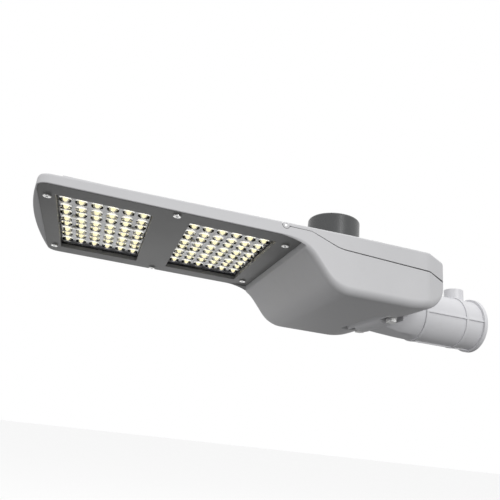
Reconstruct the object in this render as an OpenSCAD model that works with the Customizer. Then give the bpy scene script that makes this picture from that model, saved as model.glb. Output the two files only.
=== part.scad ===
// Roadway LED lamp head for a split solar street light.
// The origin is the centre of the pole spigot's open mouth. +X leaves the mouth towards the pole,
// the nose points along -X, and +Z is up. All lengths are in millimetres.

/* [Head] */
// Width of the head across its long side walls
head_w = 240; // [236:1:244]
// Distance from the spigot's mouth to the tip of the nose
reach = 613; // [611:1:615]
// Height of the lens frame's flat underside above the spigot's axis
frame_z = 30; // [29:0.5:31]
// Height of the side walls' top edge at the nose
nose_top = 41.5; // [41:0.5:42]
// Height of the side walls' top edge over the gear compartment
rear_top = 48; // [47:0.5:49]
// Height of the gear compartment's flat underside
belly_z = -24.4; // [-25:0.1:-24]
// Thickness of the cast walls
wall = 3.2; // [3:0.1:3.6]

/* [Light] */
// Length of a lens window along the head
window_l = 102.6; // [100:0.2:103]
// Width of a lens window across the head
window_w = 185; // [182:1:186]
// Distance from one window to the next
window_pitch = 144; // [143:1:146]
// Lens columns along the head in one window
lens_cols = 6; // [4:1:6]
// Distance between lens columns
col_pitch = 17.2; // [16:0.1:17.4]
// Lens tiles across one window, each with two rows of lenses
tiles = 4; // [2:1:4]
// Distance between tiles
tile_pitch = 39; // [38:0.5:40]
// Distance between the two rows of one tile
row_gap = 22; // [20:0.5:23]

/* [Pole] */
// Radius of the spigot's bore, for a 60 mm pole end
bore_r = 31; // [30.5:0.1:31.5]
// Outer radius of the spigot's tube
tube_r = 35; // [34.8:0.1:35.2]
// Depth of the bore from the mouth to the pole stop
bore_l = 92; // [88:1:93]

/* [Sensor] */
// Distance from the mouth back to the sensor socket's axis
socket_back = 225; // [222:1:228]
// Outer radius of the twist-lock cap
cap_r = 36.8; // [36:0.1:37.2]
// Height of the cap's crown above the spigot's axis
cap_top = 114; // [112:1:116]

/* [Hidden] */
$fn = 48;
half_w = head_w / 2;
nose_x = -reach;
crease_x = nose_x + 10;          // where the housing's chin starts to rise to the nose
chin_rise = 3.2;
rim = 2;                         // thickness of the housing's rim round the lens frame
frame_gap = 0.3;
m4_hole_r = 2.3;                 // clearance hole for an M4 screw
m4_tap_r = 2.05;                 // cast hole which the M4 shank fills
frame_end = -312;                // rear edge of the lens frame
swoop_x = -344;                  // where the underside starts to drop
swoop_deg = 50;
swoop_r1 = 60;
swoop_r2 = 41;
swoop_drop = frame_z - belly_z;
swoop_run = (swoop_drop - (swoop_r1 + swoop_r2) * (1 - cos(swoop_deg))) / sin(swoop_deg);
belly_x = swoop_x + (swoop_r1 + swoop_r2) * sin(swoop_deg) + swoop_run * cos(swoop_deg);
tail_x = -110.4;                 // rear face
tail_rx = 66;                    // the rounded lower tail is a quarter ellipse
tail_z = 18;
tail_rz = tail_z - belly_z;
chamfer_x = -151;                // where the rear corners start to turn in
chamfer_y = half_w - 26;
nose_r = 587;
corner_r = 12;
seam_gap = 0.7;                  // half the gap between housing and lid
hinge_x = -337;
hinge_z = 42.2;
hinge_r = 4.2;
lug_y = 109.6;                   // inner face of the lid's knuckles, which reach the side walls
lug_end = half_w - 0.2;
bearer_y = 97;                   // inner face of the housing's knuckles
hinge_gap = 0.5;
pin_r = 1.5;

// Height of the side walls' top edge at x.
function top_z(x) = min(rear_top, nose_top + (rear_top - nose_top) * (x - nose_x) / 363);

// Stack of parts above each window, from the room side up.
plate_t = 3.5;
collar_top = frame_z + 5.2;
seal_t = 0.8;
lens_z = collar_top + seal_t;
lens_t = 1.6;
board_z = lens_z + 2.6;
board_t = 1.6;
tray_z = board_z + board_t;
flange = 4.5;                    // how far each lens plate reaches past its window
window_x0 = nose_x + 28.5;
windows = [window_x0, window_x0 + window_pitch];
tray_y = window_w / 2 + flange + 0.6;
plateau_z = 46;
fin_top = 54;
fin_t = 2.4;
fin_pitch = 13;
fins = 15;

// Tilting mount: the spigot's knuckle turns in a saddle under the tail, held by a bolt each side.
tilt_x = -155.2;
tilt_z = -6;
knuckle_r = 22;
knuckle_y = 33;
skirt_y = 51;                    // below the axis the knuckle is wider, flush with the belly
skirt_top = tilt_z - 4.5;
recess = 12.5;                   // half length of the recess round each bolt head
ear_r = 13;
ear_y = 52;
fit = 0.3;
pocket_x = -181;
pocket_y = 53;
saddle_top = 20;
bolt_y = 42.5;
neck_x = -150;
tube_x = -97;

// Places in the gear compartment.
driver_x0 = -262;
driver_x1 = -206;
driver_z0 = -14;
driver_top = 17;
shelf_z = -17;
earth_x = -276;
earth_y = -90;
post_top = 22;
retainer_z = 30.5;

socket_x = -socket_back;
pad_z = 53;
socket_top = 71;

// ---- shared shapes ----

function arc(cx, cy, r, a0, a1, n) = [for (i = [0:n]) let (a = a0 + (a1 - a0) * i / n)
    [cx + r * cos(a), cy + r * sin(a)]];

// The swooping underside, from the frame's level to the belly, moved inwards by t.
function swoop(t, a0) = concat(
    arc(swoop_x, frame_z - swoop_r1, swoop_r1 + t, a0, 90 - swoop_deg, 12),
    arc(belly_x, belly_z + swoop_r2, swoop_r2 - t, 270 - swoop_deg, 270, 10));

// The rounded lower tail, moved inwards by t.
function tail(t) = [for (i = [0:14]) let (a = 270 + 90 * i / 14)
    [tail_x - tail_rx + (tail_rx - t) * cos(a), tail_z + (tail_rz - t) * sin(a)]];

// The seam between housing and lid on the side walls, from the tail forwards: x, z and how wide
// it opens for each millimetre of the seam's gap. It is tight at the front and wide at the tail.
seam_line = [[tail_x, 21.5, 1.8], [chamfer_x, 23.06, 1], [-264, 27.4, 0.8], [-272, 28.8, 0.7],
             [-300, 39, 0.5], [-306, 41, 0.4]];
seam_front = 0.4 * seam_gap;
seal_slack = 0.2;
function seam(g) = [for (p = seam_line) [p[0], p[1] + p[2] * g]];

// Head outline seen from above, moved inwards by t.
function head_plan(t) = let (
        k = nose_r - corner_r,
        cy = half_w - corner_r,
        bite = asin(cy / k),
        cx = nose_x + nose_r - k * cos(bite),
        ccx = nose_x + nose_r)
    concat(
        arc(cx, cy, corner_r - t, 90, 180 - bite, 8),
        arc(ccx, 0, nose_r - t, 180 - bite, 180 + bite, 12),
        arc(cx, -cy, corner_r - t, 180 + bite, 270, 8),
        [[chamfer_x - t * 0.3, -half_w + t], [tail_x - t, -chamfer_y + t * 0.6],
         [tail_x - t, chamfer_y - t * 0.6], [chamfer_x - t * 0.3, half_w - t]]);

module across(points, w) {
    rotate([90, 0, 0]) linear_extrude(height = w, center = true) polygon(points);
}

module box(x0, x1, y0, y1, z0, z1) {
    translate([x0, y0, z0]) cube([x1 - x0, y1 - y0, z1 - z0]);
}

module rod_x(x0, x1, y, z, r) {
    translate([x0, y, z]) rotate([0, 90, 0]) cylinder(h = x1 - x0, r = r);
}

module rod_y(x, y0, y1, z, r) {
    translate([x, y1, z]) rotate([90, 0, 0]) cylinder(h = y1 - y0, r = r);
}

module rod_z(x, y, z0, z1, r) {
    translate([x, y, z0]) cylinder(h = z1 - z0, r = r);
}

module hex(x, y, z0, z1, af) {
    translate([x, y, z0]) cylinder(h = z1 - z0, r = af / sqrt(3), $fn = 6);
}

module mirrored_y() {
    children();
    mirror([0, 1, 0]) children();
}

// Unit vector along v, and the ring of points round one point of a lead, square to its bend.
function unit(v) = v / norm(v);
lead_sides = 8;
function lead_ring(pts, i, r) = let (
        last = len(pts) - 1,
        before = unit(pts[max(i, 1)] - pts[max(i, 1) - 1]),
        after = unit(pts[min(i, last - 1) + 1] - pts[min(i, last - 1)]),
        along = unit(before + after),
        stretch = 1 / sqrt((1 + before * after) / 2),
        side = unit(cross(along, abs(along[2]) > 0.8 ? [1, 0, 0] : [0, 0, 1])),
        up = cross(side, along))
    [for (k = [0:lead_sides - 1]) let (a = 360 * k / lead_sides)
        pts[i] + r * (cos(a) * side + sin(a) * up) * (1 + (stretch - 1) * 0.5)];

// An insulated lead swept along a list of points.
module lead(pts, r) {
    n = lead_sides;
    last = len(pts) - 1;
    polyhedron(
        points = [for (i = [0:last]) each lead_ring(pts, i, r)],
        faces = concat(
            [[for (k = [0:n - 1]) k]],
            [for (i = [0:last - 1], k = [0:n - 1]) [i * n + k, i * n + (k + 1) % n, (i + 1) * n + k]],
            [for (i = [0:last - 1], k = [0:n - 1])
                [i * n + (k + 1) % n, (i + 1) * n + (k + 1) % n, (i + 1) * n + k]],
            [[for (k = [n - 1:-1:0]) last * n + k]]));
}

// Upright slab of the lens frame's outline, t inside the head's sides, from z0 to z1.
module frame_plan(t, z0, z1) intersection() {
    translate([0, 0, z0]) linear_extrude(height = z1 - z0) polygon(head_plan(t));
    box(crease_x + t - rim + frame_gap, frame_end + frame_gap - t + rim, -half_w + t, half_w - t, z0, z1);
}

module at_lenses(x0) {
    for (c = [0:lens_cols - 1], t = [0:tiles - 1], s = [-1, 1])
        translate([x0 + window_l / 2 + (c - (lens_cols - 1) / 2) * col_pitch,
                   (t - (tiles - 1) / 2) * tile_pitch + s * row_gap / 2, 0]) children();
}

frame_screw_at = [[-592.6, 88], [-457.6, 109], [-325.4, 88.7]];
module at_frame_screws() {
    for (p = frame_screw_at, s = [-1, 1]) translate([p[0], s * p[1], 0]) children();
}

module at_lens_screws(x0) {
    for (i = [-2, 2], s = [-1, 1])
        translate([x0 + window_l / 2 + i * col_pitch, s * tile_pitch / 2, 0]) children();
}

module at_lid_screws() {
    for (s = [-1, 1]) translate([-126, s * 78, 0]) children();
}

// ---- spigot: fixed to the pole ----

module ring(x0, x1, r) {
    rod_x(x0, x1, 0, 0, r, $fn = 96);
}

boss_x = -26.4;
boss_top = 48.6;

// The neck is the lower half of the tube, carried under the tail and tapered up to the knuckle.
module neck() difference() {
    ring(neck_x, tube_x + 1, tube_r);
    box(neck_x - 1, tube_x, -50, 50, 2, 60);
    translate([tube_x, 0, -tube_r]) rotate([0, 7.5, 0]) box(-70, 0, -50, 50, -20, 0);
}

module spigot() color("silver") difference() {
    union() {
        ring(tube_x, 0, tube_r);
        ring(tube_x, tube_x + 3.5, 36.6);
        ring(-33, -29.5, 36.6);
        ring(-5, 0, 38.2);
        mirrored_y() box(tube_x, -2, tube_r - 1, 36.8, -1, 1);
        box(tube_x, -2, -1, 1, -36.8, 1 - tube_r);
        rod_z(boss_x, 0, tube_r - 4, boss_top, 13.5);
        neck();
        rod_y(tilt_x, -knuckle_y, knuckle_y, tilt_z, knuckle_r, $fn = 96);
        rod_y(tilt_x, -ear_y, ear_y, tilt_z, ear_r, $fn = 96);
        difference() {
            rod_y(tilt_x, -skirt_y, skirt_y, tilt_z, knuckle_r, $fn = 96);
            box(tilt_x - 30, tilt_x + 30, -60, 60, skirt_top, 30);
            mirrored_y() box(tilt_x - recess, tilt_x + recess, knuckle_y + 0.5, 60, -40, 0);
        }
    }
    rod_x(-bore_l, 1, 0, 0, bore_r, $fn = 96);
    rod_x(tilt_x + 15, -bore_l + 1, 0, 0, 27, $fn = 96);
    rod_x(tilt_x - 30, tilt_x + 16, 0, tilt_z, 11);
    rod_z(boss_x, 0, bore_r - 6, boss_top + 1, 5.1);
    mirrored_y() box(tilt_x - 7, tilt_x + 7, bolt_y - 4.4, bolt_y + 4.4, -30, 20);
}

module pole_screw() color("gainsboro") difference() {
    rod_z(boss_x, 0, bore_r + 0.6, boss_top - 1.2, 5);
    hex(boss_x, 0, boss_top - 6.2, boss_top, 5);
}

// ---- housing ----

module housing_outer() intersection() {
    translate([0, 0, -60]) linear_extrude(height = 140) polygon(head_plan(0));
    across(concat(
        [[nose_x - 1, frame_z + chin_rise], [crease_x, frame_z], [swoop_x - 10, frame_z]],
        swoop(0, 90), tail(0), seam(-seam_gap),
        [[hinge_x - 5, 41 - seam_front], [hinge_x - 5, top_z(hinge_x - 5)], [nose_x - 1, nose_top]]),
        head_w + 2);
}

module fin_block() {
    box(nose_x + 18, swoop_x - 3, -104, 104, tray_z, plateau_z);
    for (i = [0:fins - 1]) let (y = (i - (fins - 1) / 2) * fin_pitch)
        box(nose_x + 26, swoop_x - 9, y - fin_t / 2, y + fin_t / 2, tray_z, fin_top);
}

// The gear compartment, open to the top.
module gear_bay() intersection() {
    translate([0, 0, -60]) linear_extrude(height = 140) polygon(head_plan(wall + 1.4));
    across(concat(swoop(wall, 52), tail(wall), [[tail_x - wall, 60], [-305, 60]]), 2 * (half_w - wall - 1.4));
}

module main_housing() color("lightgray") difference() {
    union() {
        difference() {
            union() {
                housing_outer();
                fin_block();
            }
            gear_bay();
        }
        // walls round the knuckle's pocket, the lid screws' posts and the pads under the electrics
        intersection() {
            housing_outer();
            union() {
                box(pocket_x - 4, tail_x, -pocket_y - 3.5, pocket_y + 3.5, belly_z, saddle_top);
                at_lid_screws() rod_z(0, 0, -16, post_top, 7.5);
                mirrored_y() box(-190, -160, 62, 106, belly_z, shelf_z);
                rod_z(earth_x, earth_y, -20, 7, 6);
            }
        }
        at_driver_screws() rod_z(0, 0, belly_z + 1, driver_z0, 5);
        // knuckles that hold the hinge pins
        mirrored_y() {
            rod_y(hinge_x, bearer_y, lug_y - hinge_gap, hinge_z, hinge_r);
            box(hinge_x - 5.5, hinge_x, bearer_y, lug_y - hinge_gap, 38, hinge_z + hinge_r);
            box(hinge_x - 1, hinge_x + hinge_r, bearer_y, lug_y - hinge_gap, 38, hinge_z);
        }
    }
    // bed for the lens frame, and the light engine's tray above it
    frame_plan(rim, frame_z - 20, frame_z + plate_t + 0.1);
    box(nose_x + 20, frame_end + frame_gap, -tray_y, tray_y, frame_z - 1, tray_z);
    // room for the lid's knuckles, and the pin holes
    mirrored_y() rod_y(hinge_x, lug_y - hinge_gap, half_w + 1, hinge_z, hinge_r + hinge_gap);
    mirrored_y() rod_y(hinge_x, bearer_y - 1, half_w + 1, hinge_z, pin_r + 0.05);
    // pocket, with a round saddle over the knuckle and its ears
    box(pocket_x, tail_x + 1, -pocket_y, pocket_y, belly_z - 5, tilt_z);
    box(tilt_x + 2, tail_x + 1, -pocket_y, pocket_y, tilt_z - 1, 8);
    box(tilt_x + 15, tail_x + 1, -pocket_y, pocket_y, 7, 14);
    rod_y(tilt_x, -knuckle_y - fit, knuckle_y + fit, tilt_z, knuckle_r + fit, $fn = 96);
    rod_y(tilt_x, -pocket_y, pocket_y, tilt_z, ear_r + fit, $fn = 96);
    mirrored_y() rod_z(tilt_x, bolt_y, 0, saddle_top - 3, 4.05);
    // openings for the cable gland, the board leads, the vent and the lid screws
    rod_x(pocket_x - 5, pocket_x + 1, 0, tilt_z, gland_r + 0.1);
    rod_x(pocket_x, tilt_x - 18, 0, tilt_z, 13);
    rod_x(-320, -300, 0, frame_z + 6.5, 3.4);
    rod_x(tail_x - 20, tail_x + 1, 66, 10, 6.1);
    at_lid_screws() rod_z(0, 0, 8, 30, 3.7);
    at_frame_screws() rod_z(0, 0, frame_z + 1, frame_z + 8.4, m4_tap_r);
    for (x = windows) at_lens_screws(x) rod_z(0, 0, tray_z - 1, tray_z + 3.4, 1.55, $fn = 24);
    at_driver_screws() rod_z(0, 0, -19, driver_z0 + 1, m4_tap_r);
    rod_z(earth_x, earth_y, 1, 8, m4_tap_r);
}

// ---- light engine ----

collar_t = 2.6;                  // wall of the collar round each window
tab_w = 5;
tab_out = 1.8;

module lens_frame() color("dimgray") difference() {
    union() {
        frame_plan(rim + frame_gap, frame_z, frame_z + plate_t);
        for (x = windows) box(x - collar_t, x + window_l + collar_t, -window_w / 2 - collar_t,
                              window_w / 2 + collar_t, frame_z + 1, collar_top);
    }
    for (x = windows) difference() {
        box(x, x + window_l, -window_w / 2, window_w / 2, frame_z - 1, collar_top + 1);
        // a small tab at the middle of each side, under the seal's inner edge
        mirrored_y() box(x + window_l / 2 - tab_w / 2, x + window_l / 2 + tab_w / 2,
                         window_w / 2 - tab_out, window_w / 2 + 1, frame_z + 2, collar_top);
        for (end = [x - 1, x + window_l - tab_out])
            box(end, end + tab_out + 1, -tab_w / 2, tab_w / 2, frame_z + 2, collar_top);
    }
    at_frame_screws() rod_z(0, 0, frame_z - 1, frame_z + plate_t + 1, m4_hole_r);
}

module frame_screws() color("whitesmoke") at_frame_screws() difference() {
    union() {
        rod_z(0, 0, frame_z - 2.2, frame_z, 4.4);
        rod_z(0, 0, frame_z - 0.5, frame_z + 8, 2);
    }
    hex(0, 0, frame_z - 3, frame_z - 0.8, 2.5);
}

module lens_plate(x0) color("aliceblue", 0.6) difference() {
    union() {
        box(x0 - flange, x0 + window_l + flange, -window_w / 2 - flange, window_w / 2 + flange,
            lens_z, lens_z + lens_t);
        at_lenses(x0) translate([0, 0, lens_z - 4]) cylinder(h = 4.5, r1 = 4.6, r2 = 7.6, $fn = 24);
    }
    at_lens_screws(x0) rod_z(0, 0, lens_z - 1, lens_z + 4, 1.7, $fn = 24);
}

module lens_seal(x0) color("black") difference() {
    box(x0 - collar_t, x0 + window_l + collar_t, -window_w / 2 - collar_t, window_w / 2 + collar_t,
        collar_top, lens_z);
    box(x0 + 0.4, x0 + window_l - 0.4, -window_w / 2 + 0.4, window_w / 2 - 0.4, collar_top - 1, lens_z + 1);
}

module led_board(x0) color("white") difference() {
    box(x0 - flange, x0 + window_l + flange, -window_w / 2 - flange, window_w / 2 + flange, board_z, tray_z);
    at_lens_screws(x0) rod_z(0, 0, board_z - 1, tray_z + 1, 1.7, $fn = 24);
}

module leds(x0) color("khaki") at_lenses(x0) box(-2.5, 2.5, -2.5, 2.5, board_z - 0.8, board_z);

module lens_screws(x0) color("silver") at_lens_screws(x0) union() {
    rod_z(0, 0, lens_z - 1.6, lens_z, 2.8, $fn = 24);
    rod_z(0, 0, lens_z - 0.2, tray_z + 3, 1.5, $fn = 24);
}

// ---- gear compartment ----

module at_driver_screws() {
    for (x = [driver_x0 + 8, driver_x1 - 8], y = [-80, 80]) translate([x, y, 0]) children();
}

module led_driver() color("silver") difference() {
    union() {
        box(driver_x0, driver_x1, -70, 70, driver_z0, driver_top);
        box(driver_x0, driver_x1, -88, 88, driver_z0, driver_z0 + 3);
        for (y = [-46:11.5:46])
            box(driver_x0 + 4, driver_x1 - 4, y - 1.2, y + 1.2, driver_top - 1, driver_top + 2);
    }
    at_driver_screws() rod_z(0, 0, driver_z0 - 1, driver_z0 + 4, m4_hole_r);
}

module driver_screws() color("silver") at_driver_screws() union() {
    rod_z(0, 0, driver_z0 + 3, driver_z0 + 5.6, 4);
    rod_z(0, 0, -18.5, driver_z0 + 3.5, 2);
}

module surge_protector() color("darkslategray") union() {
    box(-190, -160, 62, 104, shelf_z, 6);
    for (y = [70, 83, 96]) rod_z(-175, y, 5, 9, 3);
}

module terminal_block() color("ivory") difference() {
    box(-190, -166, -104, -60, shelf_z, 2);
    for (i = [0:4]) rod_z(-178, -98 + i * 8.5, -8, 3, 2.8);
    for (i = [0:4]) box(-191, -184, -100.5 + i * 8.5, -95.5 + i * 8.5, -14, -8);
}

module terminal_screws() color("goldenrod") for (i = [0:4]) difference() {
    rod_z(-178, -98 + i * 8.5, -7.9, -2, 2.7);
    box(-182, -174, -98.5 + i * 8.5, -97.5 + i * 8.5, -3, 0);
}

gland_r = 8;

module cable_gland() color("dimgray") difference() {
    union() {
        rod_x(pocket_x - 18, pocket_x + 2.4, 0, tilt_z, gland_r);
        rod_x(pocket_x - 10, pocket_x - 4, 0, tilt_z, 11);
        rod_x(pocket_x - 16, pocket_x - 10, 0, tilt_z, 10);
    }
    rod_x(pocket_x - 19, pocket_x + 3, 0, tilt_z, 5);
}

module gland_nut() color("gray") difference() {
    translate([pocket_x, 0, tilt_z]) rotate([0, 90, 0]) cylinder(h = 2.2, r = 12, $fn = 6);
    rod_x(pocket_x - 1, pocket_x + 3, 0, tilt_z, gland_r + 0.05);
}

module earth_screw() color("gold") translate([earth_x, earth_y, 0]) union() {
    rod_z(0, 0, 8.4, 11.4, 4.4);
    box(-8, 8, -5, 5, 7, 8.4);
    rod_z(0, 0, 2, 8, 2);
}

module vent_plug() color("black") union() {
    rod_x(tail_x - 9, tail_x, 66, 10, 6);
    rod_x(tail_x, tail_x + 4, 66, 10, 9);
}

module board_leads() color("firebrick") mirrored_y()
    lead([[driver_x0 - 0.3, 24, 4], [driver_x0 - 4, 24, 4], [-272, 24, 5], [-284, 18, 14], [-296, 4, 32],
          [-303, 1.6, frame_z + 6.5], [-322, 1.6, frame_z + 6.5], [-327, 3, frame_z + 7.2],
          [windows[1] + window_l + flange + 0.5, 4, frame_z + 8.2]], 1.1);

module link_leads() color("firebrick") mirrored_y()
    lead([[windows[1] - flange - 0.4, 8, frame_z + 8.4], [windows[1] - flange - 6, 8, frame_z + 7],
          [windows[0] + window_l + flange + 6, 8, frame_z + 7],
          [windows[0] + window_l + flange + 0.4, 8, frame_z + 8.4]], 1.1);

module driver_leads() color("royalblue") for (i = [0:2])
    lead([[driver_x1 + 0.3, -58 - i * 3.6, 6 - i * 5], [driver_x1 + 3, -58 - i * 3.6, 6 - i * 5],
          [-199, -70 - i * 5, 4 - i * 5],
          [-194, -78.5 - i * 8.5, -6], [-191.2, -81 - i * 8.5, -11], [-185, -81 - i * 8.5, -11]], 1.2);

// ---- lid and hinge ----

module lid_seal() color("darkslategray") intersection() {
    difference() {
        translate([0, 0, -60]) linear_extrude(height = 140) polygon(head_plan(1.6));
        translate([0, 0, -61]) linear_extrude(height = 142) polygon(head_plan(4.4));
    }
    across(concat(seam(-seam_gap), [for (i = [len(seam_line) - 1:-1:0]) seam(seam_gap - seal_slack)[i]]),
           head_w);
}

module hinge_pin(s) color("gainsboro") mirror([0, s > 0 ? 0 : 1, 0])
    rod_y(hinge_x, bearer_y + 1, half_w - 1, hinge_z, pin_r);

module lid_outer(t) intersection() {
    translate([0, 0, -60]) linear_extrude(height = 140) polygon(head_plan(t));
    across(concat([[hinge_x + 6 + t, top_z(hinge_x) - t], [-250, rear_top - t], [tail_x, rear_top - t]],
        t > 0 ? [[tail_x, 10], [-300, 10], [-300, 41.8], [hinge_x + 6 + t, 41.8]]
              : concat(seam(seam_gap), [[hinge_x + 6, 41 + seam_front]])), head_w + 2);
}

module gear_lid() color("lightgray") difference() {
    union() {
        difference() {
            lid_outer(0);
            lid_outer(3.2);
        }
        // raised pad for the sensor socket
        rod_z(socket_x, 0, rear_top - 3.2, pad_z, 44);
        mirrored_y() difference() {
            union() {
                rod_y(hinge_x, lug_y, lug_end, hinge_z, hinge_r);
                box(hinge_x, hinge_x + 12, lug_y, lug_end, hinge_z - 0.5, hinge_z + hinge_r);
            }
            rod_y(hinge_x, lug_y - 1, half_w + 1, hinge_z, pin_r + 0.08);
        }
        at_lid_screws() rod_z(0, 0, retainer_z + 1.2, rear_top - 1, 8);
    }
    rod_z(socket_x, 0, 30, 60, 22);
    at_lid_screws() rod_z(0, 0, 20, 60, 3.2);
}

module lid_screw(s) color("whitesmoke") translate([-126, s * 78, 0]) difference() {
    union() {
        rod_z(0, 0, rear_top + 0.4, rear_top + 5, 7);
        rod_z(0, 0, 16, rear_top + 1, 2);
        rod_z(0, 0, 15.5, retainer_z - 6.5, 2.5);
    }
    box(-8, 8, -0.7, 0.7, rear_top + 3.6, rear_top + 8);
}

module screw_retainers() color("dimgray") at_lid_screws() difference() {
    rod_z(0, 0, retainer_z, retainer_z + 1.2, 5.5);
    rod_z(0, 0, retainer_z - 1, retainer_z + 2, 2.2);
}

// ---- twist-lock sensor socket and cap ----

blade_r = 14;
blade_deg = 24;
twist_deg = 35;

module wedge(a0, a1, r0, r1, z0, z1) translate([socket_x, 0, z0])
    linear_extrude(height = z1 - z0) polygon(concat(arc(0, 0, r1, a0, a1, 8), arc(0, 0, r0, a1, a0, 8)));

module socket_seal() color("black") difference() {
    rod_z(socket_x, 0, pad_z, pad_z + 1, 35);
    rod_z(socket_x, 0, pad_z - 1, pad_z + 2, 22.2);
}

module sensor_socket() color("darkslategray") difference() {
    union() {
        rod_z(socket_x, 0, pad_z + 1.2, pad_z + 8, 34);
        rod_z(socket_x, 0, pad_z + 7, socket_top, 30);
        rod_z(socket_x, 0, 36, pad_z + 2, 21.6);
    }
    for (i = [0:2]) wedge(i * 120 - 2, i * 120 + blade_deg + twist_deg + 2,
                          blade_r - 2.1, blade_r + 2.1, socket_top - 16, socket_top + 1);
    for (i = [0:2]) wedge(i * 120 + 8, i * 120 + 32, blade_r - 1.1, blade_r + 1.1, 45, socket_top - 15);
    rod_z(socket_x, 0, 35, 46, 18);
}

module socket_nut() color("gray") difference() {
    rod_z(socket_x, 0, 38, rear_top - 3.6, 27);
    rod_z(socket_x, 0, 37, rear_top, 21.7);
}

module socket_contacts() color("gold") for (i = [0:2])
    wedge(i * 120 + 10, i * 120 + 30, blade_r - 1, blade_r + 1, 44, socket_top - 14.3);

module sensor_leads() color("darkred") for (i = [0:2]) let (a = i * 120 + 20)
    lead([[socket_x + 14 * cos(a), 14 * sin(a), 43.7], [socket_x + 14 * cos(a), 14 * sin(a), 41],
          [socket_x + 9 * cos(a), 9 * sin(a), 36], [socket_x + 3.2 * cos(a), 3.2 * sin(a), 33],
          [socket_x + 3 * cos(a), 3 * sin(a), 29.7]], 1.1);

module sensor_plug() color("ivory") box(socket_x - 6, socket_x + 6, -5, 5, 22.6, 29.5);

module cap_shell() color("dimgray") difference() {
    union() {
        rod_z(socket_x, 0, 68, cap_top - 3, cap_r);
        translate([socket_x, 0, cap_top - 3]) rotate_extrude($fn = 96) union() {
            square([cap_r - 3, 3]);
            intersection() {
                translate([cap_r - 3, 0]) circle(r = 3);
                square([cap_r, 3]);
            }
        }
        rod_z(socket_x, 0, 65, 82, cap_r + 1.2);
    }
    rod_z(socket_x, 0, 60, cap_top - 3, cap_r - 2.4);
}

module cap_base() color("black") rod_z(socket_x, 0, socket_top + 1.6, socket_top + 5, cap_r - 2.6);

module cap_blades() color("gold") for (i = [0:2])
    wedge(i * 120, i * 120 + blade_deg, blade_r - 1, blade_r + 1, socket_top - 14, socket_top + 1.6);

module cap_seal() color("black") difference() {
    rod_z(socket_x, 0, socket_top + 0.4, socket_top + 1.6, 29);
    rod_z(socket_x, 0, socket_top, socket_top + 2, 22);
}

module shorting_link() color("goldenrod") difference() {
    rod_z(socket_x, 0, socket_top + 5, socket_top + 6.5, 17);
    rod_z(socket_x, 0, socket_top + 4, socket_top + 8, 9);
}

// ---- bolts that lock the tilt ----

module tilt_bolts() color("gainsboro") mirrored_y() union() {
    hex(tilt_x, bolt_y, -27.2, -21.2, 13);
    rod_z(tilt_x, bolt_y, -22, saddle_top - 5, 4);
}

module tilt_washers() color("silver") mirrored_y() difference() {
    rod_z(tilt_x, bolt_y, -21.2, -19.4, 8);
    rod_z(tilt_x, bolt_y, -22, -19, 4.1);
}

spigot();
pole_screw();
main_housing();
lens_frame();
frame_screws();
lens_plate(windows[0]);  // lens_front
lens_plate(windows[1]);  // lens_rear
lens_seal(windows[0]);  // lens_seal_front
lens_seal(windows[1]);  // lens_seal_rear
led_board(windows[0]);  // led_board_front
led_board(windows[1]);  // led_board_rear
leds(windows[0]);  // leds_front
leds(windows[1]);  // leds_rear
lens_screws(windows[0]);  // lens_screws_front
lens_screws(windows[1]);  // lens_screws_rear
led_driver();
driver_screws();
surge_protector();
terminal_block();
terminal_screws();
cable_gland();
gland_nut();
earth_screw();
vent_plug();
board_leads();
link_leads();
driver_leads();
lid_seal();
hinge_pin(-1);  // hinge_pin_near
hinge_pin(1);  // hinge_pin_far
tilt_bolts();
tilt_washers();
gear_lid();
lid_screw(-1);  // lid_screw_near
lid_screw(1);  // lid_screw_far
screw_retainers();
socket_seal();
sensor_socket();
socket_nut();
socket_contacts();
sensor_leads();
sensor_plug();
cap_shell();
cap_base();
cap_blades();
cap_seal();
shorting_link();
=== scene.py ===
"""A roadway LED lamp head for a split solar street light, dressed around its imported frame."""
from math import cos, exp, pi, radians, sin, sqrt

import bmesh
import bpy
from mathutils import Matrix, Vector


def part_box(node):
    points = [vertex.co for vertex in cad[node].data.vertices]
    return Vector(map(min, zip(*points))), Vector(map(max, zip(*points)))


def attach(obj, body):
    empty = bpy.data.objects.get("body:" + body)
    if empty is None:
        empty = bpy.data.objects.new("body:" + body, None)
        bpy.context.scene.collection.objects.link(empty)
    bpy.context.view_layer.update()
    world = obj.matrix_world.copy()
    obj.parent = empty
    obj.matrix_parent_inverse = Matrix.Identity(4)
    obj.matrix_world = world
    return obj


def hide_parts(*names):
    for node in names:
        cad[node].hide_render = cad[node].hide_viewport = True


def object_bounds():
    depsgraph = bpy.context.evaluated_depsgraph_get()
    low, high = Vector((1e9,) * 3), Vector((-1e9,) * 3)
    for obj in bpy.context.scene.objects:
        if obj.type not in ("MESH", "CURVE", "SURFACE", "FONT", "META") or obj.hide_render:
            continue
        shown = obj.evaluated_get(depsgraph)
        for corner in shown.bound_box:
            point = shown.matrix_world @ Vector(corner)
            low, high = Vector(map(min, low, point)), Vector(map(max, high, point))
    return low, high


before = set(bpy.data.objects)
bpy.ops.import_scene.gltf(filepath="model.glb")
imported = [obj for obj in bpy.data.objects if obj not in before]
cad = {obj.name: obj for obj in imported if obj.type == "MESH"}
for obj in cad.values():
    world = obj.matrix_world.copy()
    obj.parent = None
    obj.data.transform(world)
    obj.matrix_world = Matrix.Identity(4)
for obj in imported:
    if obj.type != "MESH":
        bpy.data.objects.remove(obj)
cad_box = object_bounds()
MM = 0.001


# ---------------------------------------------------------------- floor, light and camera
# A pale studio floor well below the lamp, and a bright even room that is dimmer underfoot.
# Large soft lamps light the near long side, the nose end and the top, and a low one on the far side
# shows in the screw heads and lens plates. The camera stands below and in front of the near side.
FLOOR_DROP = 0.62
FLOOR_SIZE = 40.0
FLOOR_GLOW = 0.25

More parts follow.
